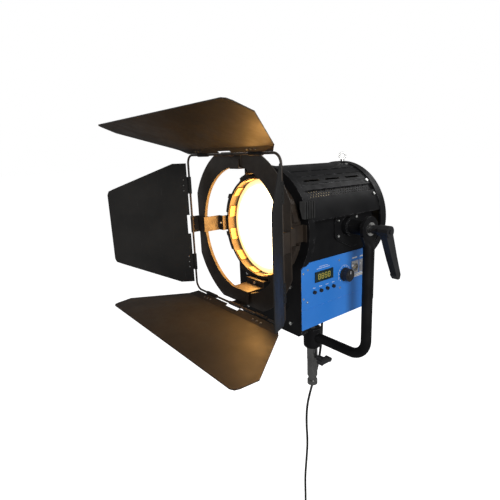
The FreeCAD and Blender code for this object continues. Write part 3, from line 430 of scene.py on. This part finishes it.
class Build:
    """Collects boxes and round studs into one mesh."""

    def __init__(self):
        self.vertices = []
        self.faces = []

    def block(self, low, high):
        n = len(self.vertices)
        for x in (low[0], high[0]):
            for y in (low[1], high[1]):
                for z in (low[2], high[2]):
                    self.vertices.append((x, y, z))
        sides = ((0, 1, 3, 2), (4, 6, 7, 5), (0, 4, 5, 1), (2, 3, 7, 6), (0, 2, 6, 4), (1, 5, 7, 3))
        self.faces += [tuple(n + i for i in side) for side in sides]

    def panel(self, y, z, wide, high, depth=MARK, face=None):
        """Thin mark on the control panel, centred at y and z."""
        x = PANEL_FACE if face is None else face
        self.block((x - 0.0001, y - wide / 2, z - high / 2), (x + depth, y + wide / 2, z + high / 2))

    def stud(self, centre, way, profile, sides=20):
        """Round stud along way; profile is a list of (radius, height)."""
        way = Vector(way).normalized()
        across = way.orthogonal().normalized()
        beside = way.cross(across)
        first = len(self.vertices)
        for radius, height in profile:
            for index in range(sides):
                turn = math.tau * index / sides
                point = Vector(centre) + way * height
                point += (across * math.cos(turn) + beside * math.sin(turn)) * radius
                self.vertices.append(tuple(point))
        for ring in range(len(profile) - 1):
            for index in range(sides):
                a = first + ring * sides + index
                b = first + ring * sides + (index + 1) % sides
                self.faces.append((a, b, b + sides, a + sides))
        last = first + (len(profile) - 1) * sides
        self.faces.append(tuple(last + i for i in range(sides)))

    def arc(self, centre, inner, outer, start, end, steps, depth=MARK):
        """Flat printed arc on the control panel; angles run from straight up towards +Y."""
        first = len(self.vertices)
        for index in range(steps + 1):
            turn = math.radians(start + (end - start) * index / steps)
            for radius in (inner, outer):
                self.vertices.append((PANEL_FACE + depth, centre[0] + radius * math.sin(turn),
                                      centre[1] + radius * math.cos(turn)))
        for index in range(steps):
            a = first + 2 * index
            self.faces.append((a, a + 2, a + 3, a + 1))

    def make(self, name, material, body, smooth=False):
        return piece(name, self.vertices, self.faces, material, body, smooth)


# ---------- control panel ----------

def seven_segment(build, text, centre, height, face):
    """Digits in a row along +Y, drawn as bars."""
    wide = height * 0.52
    thick = height * 0.13
    pitch = height * 0.86
    bars = {"a": (0, 0.5, 1), "g": (0, 0, 1), "d": (0, -0.5, 1), "f": (-0.5, 0.25, 0),
            "b": (0.5, 0.25, 0), "e": (-0.5, -0.25, 0), "c": (0.5, -0.25, 0)}
    for place, digit in enumerate(text):
        y = centre[0] + (place - (len(text) - 1) / 2) * pitch
        for bar in SEGMENTS[digit]:
            across, up, flat = bars[bar]
            size = (wide * 0.8, thick) if flat else (thick, height * 0.40)
            build.panel(y + across * wide, centre[1] + up * height * 0.92, *size, 0.0003, face)


def add_display(materials):
    low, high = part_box("display_module")
    centre = ((low.y + high.y) / 2, (low.z + high.z) / 2)
    lit = Build()
    seven_segment(lit, DISPLAY_TEXT, centre, DIGIT_HEIGHT, high.x)
    lit.make("display_digits", glow("digits_lit", (0.50, 0.42, 0.08), 0.38), "head")
    # The unlit bars carry a painted glow: they emit light though they are not lit.
    unlit = Build()
    seven_segment(unlit, "8888", centre, DIGIT_HEIGHT, high.x - 0.00012)
    unlit.make("display_unlit_bars", glow("digits_unlit_painted_glow", (0.30, 0.34, 0.05), 0.25),
               "head")
    bezel = Build()
    rim = 0.0012
    for z in (low.z, high.z - rim):
        bezel.block((high.x - 0.001, low.y, z), (high.x + 0.0006, high.y, z + rim))
    for y in (low.y, high.y - rim):
        bezel.block((high.x - 0.001, y, low.z), (high.x + 0.0006, y + rim, high.z))
    bezel.make("display_rim", materials["black_plastic"], "head")


def box_centre(node):
    low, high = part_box(node)
    return (low + high) / 2


def add_panel_marks(white):
    """Generic printed marks: bars for captions over the display, buttons and sockets, a dial scale and
    a label strip.
    """
    marks = Build()
    display = box_centre("display_module")
    for row, length in ((0.0185, 0.044), (0.0225, 0.030)):
        for index in range(9):
            start = display.y - length / 2 + index * length / 9
            marks.panel(start, display.z + row, length / 9 * 0.62, 0.0011)
    for number in range(1, 5):
        button = box_centre("button_%d" % number)
        for index in range(3):
            marks.panel(button.y - 0.003 + index * 0.003, button.z + 0.0095, 0.0019, 0.0011)
    dial = box_centre("dimmer_dial")
    for index in range(11):
        angle = -135 + 27 * index
        marks.arc((dial.y, dial.z), 0.0178, 0.0205, angle - 1.4, angle + 1.4, 2)
    marks.arc((dial.y, dial.z), 0.0216, 0.0221, -120, 120, 40)
    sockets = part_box("data_sockets")
    middle = (sockets[0].y + sockets[1].y) / 2
    wide = sockets[1].y - sockets[0].y
    top = sockets[1].z + 0.004
    for index in range(2):
        y = middle + (index - 0.5) * wide * 0.52
        marks.panel(y, top + 0.0035, 0.018, 0.0032)
    strip_z = sockets[0].z - 0.0065
    marks.panel(middle - 0.008, strip_z, wide + 0.010, 0.0085)
    marks.make("panel_marks", white, "head")
    return middle, wide, strip_z


def add_label_ticks(middle, wide, strip_z):
    """Dark dashes on the white strip below the sockets."""
    ticks = Build()
    for row in (-0.0019, 0.0019):
        for index in range(16):
            start = middle - 0.008 - wide / 2 + index * wide / 16 + 0.002
            length = 0.0016 + 0.0012 * ((index * 7) % 3) / 2
            ticks.panel(start, strip_z + row, length, 0.0013, MARK * 2)
    ticks.make("label_ticks", ink("ink_black", (0.02, 0.02, 0.02)), "head")


def add_dial_cap(materials, white):
    """Cap disc and pointer line on the dimmer dial."""
    low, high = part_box("dimmer_dial")
    centre = (low + high) / 2
    cap = Build()
    cap.stud((high.x, centre.y, centre.z), (1, 0, 0),
             [(0.0105, -0.0004), (0.0105, 0.0006), (0.0098, 0.0011), (0.0, 0.0011)], 40)
    cap.make("dial_cap", materials["black_plastic"], "dial", True)
    pointer = Build()
    pointer.block((high.x + 0.0010, centre.y - 0.0007, centre.z + 0.0035),
                  (high.x + 0.0014, centre.y + 0.0007, centre.z + 0.0100))
    pointer.make("dial_pointer", white, "dial")


def add_socket_pins(materials):
    """Three gold pins in the data input."""
    low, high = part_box("data_sockets")
    y0 = low.y + 0.013
    z0 = (low.z + high.z) / 2
    pins = Build()
    for angle in (90, 210, 330):
        turn = math.radians(angle)
        centre = (high.x - 0.004, y0 + 0.0038 * math.cos(turn), z0 + 0.0038 * math.sin(turn))
        pins.stud(centre, (1, 0, 0), [(0.0010, 0.0), (0.0010, 0.0036), (0.0006, 0.0042), (0.0, 0.0043)],
                  12)
    pins.make("socket_pins", brushed("gold_pins", (0.55, 0.38, 0.12), (0.85, 0.62, 0.22), 0.25),
              "head", True)
    screws = Build()
    for y in (y0, y0 + 0.030):
        for side in (-1, 1):
            screws.stud((high.x - 0.0042, y + side * 0.0098, z0 + side * 0.0128), (1, 0, 0),
                        [(0.0019, 0.0), (0.0019, 0.0008), (0.0012, 0.0013), (0.0, 0.0013)], 16)
    screws.make("socket_screws", materials["dark_steel"], "head", True)


# ---------- small hardware ----------

def leaf_frame(side, angle):
    """Points on a leaf: turns (across, along, out) into the row frame."""
    open_by = math.radians(angle)
    along = Vector((0, -math.sin(open_by), -math.cos(open_by)))
    out = Vector((0, -math.cos(open_by), math.sin(open_by)))
    turn = Matrix.Rotation(math.radians(side), 3, "Y")
    hinge = Vector((0, 0, 0.165))
    middle = Vector((0, ROD_Y, AXIS_Z))

    def place(x, y, z):
        return middle + turn @ (hinge + Vector((x, 0, 0)) + along * y + out * z)
    return place, turn @ out


def add_leaf_rivets(materials):
    """Dome rivets on the inside of each hinge clip."""
    turns = {"top": (0, 125), "right": (90, 134), "bottom": (180, 116), "left": (270, 127)}
    for side, (turn, angle) in turns.items():
        place, out = leaf_frame(turn, angle)
        rivets = Build()
        for clip in (-0.095, 0.095):
            for shift in (-0.013, 0.0, 0.013):
                rivets.stud(place(clip + shift, 0.015, -0.0007), -out,
                            [(0.0026, 0.0), (0.0024, 0.0007), (0.0014, 0.0013), (0.0, 0.0014)], 16)
        rivets.make("leaf_%s_rivets" % side, materials["dark_steel"], side + "_leaf",
                    True)


# ---------- cord ----------

def spline_points(route, name):
    """Points along the smooth curve that has the route as its control points."""
    curve = bpy.data.curves.new(name, "CURVE")
    curve.dimensions = "3D"
    curve.resolution_u = 6
    spline = curve.splines.new("NURBS")
    spline.points.add(len(route) - 1)
    for point, place in zip(spline.points, route):
        point.co = (*place, 1.0)
    spline.order_u = 3
    spline.use_endpoint_u = True
    obj = bpy.data.objects.new(name, curve)
    mesh = bpy.data.meshes.new_from_object(obj)
    points = [v.co.copy() for v in mesh.vertices]
    bpy.data.objects.remove(obj)
    bpy.data.meshes.remove(mesh)
    return points


def coil_route():
    """Control points of the coil's turns, from the hanging end round to the plug."""
    points = []
    for index in range(1, COIL_TURNS * COIL_POINTS + 1):
        turns = index / COIL_POINTS
        layer = min(int(turns), len(COIL_LAYERS) - 1)
        following = min(layer + 1, len(COIL_LAYERS) - 1)
        share = max(0.0, (turns - int(turns)) * 4 - 3)
        rise = COIL_LAYERS[layer][0] * (1 - share) + COIL_LAYERS[following][0] * share
        side = COIL_LAYERS[layer][1] * (1 - share) + COIL_LAYERS[following][1] * share
        angle = math.pi + math.tau * turns
        radius = COIL_RADIUS + rise
        points.append((COIL_CENTRE[0] + radius * math.cos(angle), COIL_CENTRE[1] + side,
                       COIL_CENTRE[2] + radius * math.sin(angle)))
    return points


def tube_mesh(points, radius, sides=14):
    """Vertices and faces of a closed round tube along the points."""
    vertices, faces = [], []
    across = None
    for index, point in enumerate(points):
        before = points[max(index - 1, 0)]
        after = points[min(index + 1, len(points) - 1)]
        way = (after - before).normalized()
        if across is None:
            across = way.orthogonal().normalized()
        across = (across - way * across.dot(way)).normalized()
        beside = way.cross(across)
        for side in range(sides):
            turn = math.tau * side / sides
            vertices.append(point + (across * math.cos(turn) + beside * math.sin(turn)) * radius)
    for index in range(len(points) - 1):
        for side in range(sides):
            a = index * sides + side
            b = index * sides + (side + 1) % sides
            faces.append((a, b, b + sides, a + sides))
    faces.append(tuple(reversed(range(sides))))
    last = (len(points) - 1) * sides
    faces.append(tuple(last + i for i in range(sides)))
    return vertices, faces


def add_cord(materials):
    plug_low, plug_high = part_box("mains_plug")
    plug_top = (plug_low.x + plug_high.x) / 2, (plug_low.y + plug_high.y) / 2, plug_high.z
    tail = [(plug_top[0], plug_top[1], plug_top[2] + 0.012), plug_top]
    points = spline_points(CORD_ROUTE + coil_route() + tail, "cord_line")
    vertices, faces = tube_mesh(points, CORD_RADIUS)
    cord = piece("power_cord", vertices, faces, materials["black_rubber"], None, True)
    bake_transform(cord)
    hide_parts("cord_upper", "cord_hanging", "cord_coil")
    tie = add_cord_tie(materials)
    return cord


def add_cord_tie(materials):
    """Hook-and-loop tie round the bundle at its lowest point."""
    low, wide, deep, thick = COIL_CENTRE[2] - COIL_RADIUS, 0.008, 0.0125, 0.0012
    tie = Build()
    outline = []
    for index in range(28):
        turn = math.tau * index / 28
        outline.append((deep * math.cos(turn), deep * math.sin(turn)))
    for ring, (grow, x) in enumerate(((0, -wide), (thick, -wide), (thick, wide), (0, wide))):
        for across, up in outline:
            scale = (deep + grow) / deep
            tie.vertices.append((COIL_CENTRE[0] + x, COIL_CENTRE[1] + across * scale,
                                 low + up * scale))
        for index in range(28):
            a, b = ring * 28 + index, ring * 28 + (index + 1) % 28
            c, d = (b + 28) % 112, (a + 28) % 112
            tie.faces.append((a, b, c, d))
    return tie.make("cord_tie", materials["black_plastic"], "yoke", True)


# ---------- camera and light ----------

def add_camera():
    data = bpy.data.cameras.new("camera")
    data.lens = CAMERA_LENS
    data.sensor_width = 36.0
    data.shift_x, data.shift_y = CAMERA_SHIFT
    camera = bpy.data.objects.new("camera", data)
    forward = Vector(CAMERA_FORWARD).normalized()
    right = forward.cross(Vector(CAMERA_UP)).normalized()
    up = right.cross(forward)
    turn = Matrix((right, up, -forward)).transposed()
    camera.matrix_world = Matrix.Translation(CAMERA_PLACE) @ turn.to_4x4()
    bpy.context.scene.collection.objects.link(camera)
    bpy.context.scene.camera = camera


def add_light(name, place, target, size, power, colour=(1, 1, 1)):
    data = bpy.data.lights.new(name, "AREA")
    data.shape = "DISK"
    data.size = size
    data.energy = power
    data.color = colour
    light = bpy.data.objects.new(name, data)
    light.location = place
    light.rotation_euler = (Vector(target) - Vector(place)).to_track_quat("-Z", "Y").to_euler()
    bpy.context.scene.collection.objects.link(light)
    return light


def add_beam():
    """The lamp's own warm light, which falls on the barn doors and their ring."""
    low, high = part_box("fresnel_lens")
    place = ((low.x + high.x) / 2, low.y - 0.002, (low.z + high.z) / 2)
    beam = add_light("beam", place, (place[0], place[1] - 1.0, place[2]), 0.21, BEAM_POWER,
                     (1.0, 0.45, 0.08))
    beam.visible_camera = False
    beam.parent = frame["bodies"]["head"]
    lit = bpy.data.collections.new("lit_by_beam")
    for obj in bpy.data.objects:
        if obj.type == "MESH" and obj.name not in SHADED:
            lit.objects.link(obj)
    beam.light_linking.receiver_collection = lit


def add_world():
    """White studio: a bright sky to look at, dimmer as a light on the black paint."""
    world = bpy.data.worlds.new("studio")
    bpy.context.scene.world = world
    world.use_nodes = True
    tree = world.node_tree
    background = tree.nodes["Background"]
    background.inputs["Color"].default_value = (1.0, 1.0, 1.0, 1.0)
    rays = tree.nodes.new("ShaderNodeLightPath")
    level = tree.nodes.new("ShaderNodeMapRange")
    level.inputs["To Min"].default_value = SKY_LIGHT
    level.inputs["To Max"].default_value = 1.0
    tree.links.new(rays.outputs["Is Camera Ray"], level.inputs["Value"])
    tree.links.new(level.outputs["Result"], background.inputs["Strength"])


def add_floor():
    level = cad_box[0][2] - FLOOR_DROP
    size = FLOOR_HALF
    mesh = bpy.data.meshes.new("floor")
    mesh.from_pydata([(-size, -size, level), (size, -size, level), (size, size, level),
                      (-size, size, level)], [], [(0, 1, 2, 3)])
    floor = bpy.data.objects.new("floor", mesh)
    bpy.context.scene.collection.objects.link(floor)
    s = Shader("floor_paint", 0.8)
    s.colour(s.ramp(s.noise(3, 3, 0.5), [(0.3, (0.86, 0.86, 0.86)), (0.7, (0.89, 0.89, 0.89))]))
    s.bsdf.inputs["Specular IOR Level"].default_value = 0.1
    s.bsdf.inputs["Emission Color"].default_value = (1.0, 1.0, 1.0, 1.0)
    s.bsdf.inputs["Emission Strength"].default_value = FLOOR_GLOW
    mesh.materials.append(s.material)
    floor.visible_diffuse = False
    floor.visible_glossy = False


def add_studio():
    add_camera()
    add_world()
    add_floor()
    for name, (place, size, power) in LAMPS.items():
        add_light(name, place, LIGHT_TARGET, size, power)
    add_beam()
    bpy.context.scene.view_settings.view_transform = "Standard"


def main():
    materials = make_materials()
    white = ink("ink_white", (0.80, 0.81, 0.82))
    dress_nodes(materials)
    add_display(materials)
    strip = add_panel_marks(white)
    add_label_ticks(*strip)
    add_dial_cap(materials, white)
    add_socket_pins(materials)
    add_leaf_rivets(materials)
    add_cord(materials)
    add_studio()


main()
